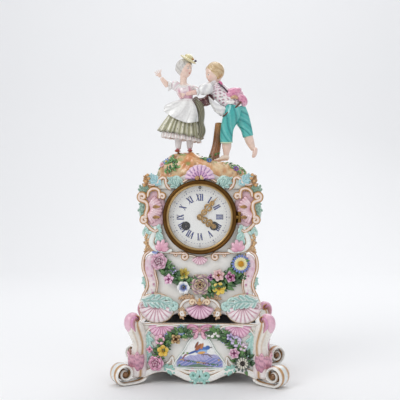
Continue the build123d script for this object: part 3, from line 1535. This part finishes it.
def hinge_lug(x, radius, front, back, ring_side, ring_radius):
    """The plate that ties the fixed knuckles to their ring."""
    reach = knuckle_length * 1.5 + clearance
    inner, outer = sorted((x - ring_side * radius, ring_side * -1 * (ring_radius - overrun)))
    return box_between((inner, front, dial_height - reach), (outer, back, dial_height + reach))


def glass():
    """Slightly domed glass behind the bezel's lip."""
    seat = bezel_door_front + bezel_lip
    return turned(0, dial_height, [
        (0, seat - glass_sag), (bezel_inner - clearance, seat), (glass_radius, seat),
        (glass_radius, seat + glass_thick), (bezel_inner - clearance, seat + glass_thick),
        (0, seat + glass_thick - glass_sag)])


back_hinge_y = case_back + back_ring_thick + clearance + back_knuckle_radius


def back_ring():
    """Brass ring on the back of the case, with the fixed half of the door's hinge."""
    ring = turned(0, dial_height, [
        (strap_inner - clearance, case_back), (back_ring_outer, case_back),
        (back_ring_outer, case_back + back_ring_thick),
        (strap_inner - clearance, case_back + back_ring_thick)])
    lug = hinge_lug(-back_hinge_out, back_knuckle_radius, case_back, case_back + back_ring_thick, 1,
                    back_ring_outer)
    bore = pin_bore(-back_hinge_out, back_hinge_y, dial_height - knuckle_length * 2,
                    dial_height + knuckle_length * 2)
    knuckles = fixed_knuckles(-back_hinge_out, back_hinge_y, back_knuckle_radius,
                              case_back + back_ring_thick, 1)
    return cut_by(fused(ring, lug, *knuckles), bore)


def back_door():
    """Shallow turned cover on a side hinge."""
    front = case_back + back_ring_thick + clearance
    pan = front + back_door_pan
    outer = back_ring_outer - back_door_thick
    cover = turned(0, dial_height, [
        (0, pan), (outer - back_door_rim, pan), (outer - back_door_rim, front), (outer, front),
        (outer, pan + back_door_thick), (0, pan + back_door_thick)])
    knuckle = rod_z(-back_hinge_out, back_hinge_y, back_knuckle_radius,
                    dial_height - knuckle_length / 2, dial_height + knuckle_length / 2)
    leaf = box_between((-back_hinge_out, front, dial_height - knuckle_length / 2),
                       (back_door_rim / 2 - outer, front + back_door_thick,
                        dial_height + knuckle_length / 2))
    bore = pin_bore(-back_hinge_out, back_hinge_y, dial_height - knuckle_length,
                    dial_height + knuckle_length)
    return cut_by(fused(cover, knuckle, leaf), bore)


def case_straps():
    """Two long brass straps from the bezel ring, past the front plate's ears, to the back ring."""
    made = []
    for side in (-1, 1):
        low_x, high_x = sorted((side * strap_inner, side * (strap_inner + plate_thick)))
        bar = box_between((low_x, case_front, dial_height - strap_half_width),
                          (high_x, case_back, dial_height + strap_half_width))
        low_x, high_x = sorted((side * strap_inner, side * (dial_hole_radius - clearance * 2)))
        foot = box_between((low_x, case_front, dial_height - strap_half_width),
                           (high_x, case_front + plate_thick, dial_height + strap_half_width))
        made.append(fused(bar, foot))
    return group(*made)


def strap_screws():
    """Two large screw heads on the back ring."""
    made = []
    for side in (-1, 1):
        seat = case_back + back_ring_thick
        made.append(rod_y(side * (strap_inner + plate_thick), dial_height, screw_radius, seat,
                          seat + plate_thick))
    return group(*made)


def hand_nut():
    """Domed nut that holds the minute hand on the centre arbor."""
    nut = turned(0, dial_height, [(0, hand_nut_front), (nut_radius / 2, hand_nut_front),
                                  (nut_radius, hand_nut_front + nut_thick / 2),
                                  (nut_radius, hand_nut_front + nut_thick),
                                  (0, hand_nut_front + nut_thick)])
    return cut_by(nut, bore_y(0, dial_height, arbor_radius, hand_nut_front + nut_thick / 2, 0))


# Every piece by its name

ground = mound()
lady = lady_figure(ground)
boy = boy_figure(ground, lady)
shell = corner_shell()
leaf = corner_leaf()

nodes = {
    "stand_body": stand_body(),
    "console_front_right": corner_console(1, -1),
    "console_front_left": corner_console(-1, -1),
    "console_back_right": corner_console(1, 1),
    "console_back_left": corner_console(-1, 1),
    "felt_pad": felt_pad(),
    "cartouche_panel": cartouche_panel(),
    "ribbon_bow": ribbon_bow(),
    "apron_scroll": apron_scroll(),
    "spray_left": group(spray_leaf_plate(-1), spray_flowers(spray_left_share)),
    "spray_right": group(spray_leaf_plate(1), spray_flowers(spray_right_share)),
    "case_body": case_body(),
    "rocaille_right": rocaille(),
    "rocaille_left": mirrored(rocaille()),
    "shoulder_right": shoulder_bracket(),
    "shoulder_left": mirrored(shoulder_bracket()),
    "lower_curl_right": lower_curl(),
    "lower_curl_left": mirrored(lower_curl()),
    "pilaster_right": pilaster(),
    "pilaster_left": mirrored(pilaster()),
    "corner_shell_right": fused(shell, leaf),
    "corner_shell_left": mirrored(fused(shell, leaf)),
    "apron_shell": apron_shell(),
    "crest_shell": crest_shell(),
    "under_scrolls": under_scrolls(),
    "garland_leaves": garland_leaves(),
    "garland_large_flowers": group(*[garland_flower(row[0]) for row in garland_share
                                     if row[5] != "cup"]),
    "garland_small_flowers": group(*[garland_flower(row[0]) for row in garland_share
                                     if row[5] == "cup"]),
    "mound": ground,
    "lady_figure": lady,
    "lady_skirt": lady_skirt(),
    "lady_apron": lady_apron(),
    "lady_hat": lady_hat(),
    "boy_figure": boy,
    "coat_tails": coat_tails(boy),
    "tree_stump": tree_stump(ground, boy),
    "movement_plates": group(front_plate(), back_plate(), pillars(), suspension_cock()),
    "case_straps": group(case_straps(), strap_screws()),
    "going_barrel": barrel(1),
    "strike_barrel": group(barrel(-1), count_wheel()),
    "centre_wheel": centre_wheel(),
    "third_wheel": third_wheel(),
    "escape_wheel": escape_wheel(),
    "pallet_anchor": pallet_anchor(),
    "pendulum": pendulum(),
    "regulator_arbor": regulator_arbor(),
    "hammer": hammer(),
    "bell": group(bell(), bell_stand()),
    "cannon_pinion": cannon_pinion(),
    "minute_wheel": minute_wheel(),
    "hour_wheel": hour_wheel(),
    "minute_hand": group(hand(minute_hand_length, minute_hand_share, minute_hand_angle,
                              minute_hand_front, arbor_radius), hand_nut()),
    "hour_hand": hand(hour_hand_length, hour_hand_share, hour_hand_angle, hour_hand_front,
                      cannon_radius + running_clearance),
    "dial": dial(),
    "bezel_ring": group(bezel_ring(), hinge_pin(hinge_out, hinge_y)),
    "bezel_door": hinged_bezel(),
    "bezel_glass": glass(),
    "back_ring": group(back_ring(), hinge_pin(-back_hinge_out, back_hinge_y)),
    "back_door": back_door(),
}

os.makedirs("parts", exist_ok=True)
for name, shape in nodes.items():
    export_step(shape, "parts/" + name + ".step")
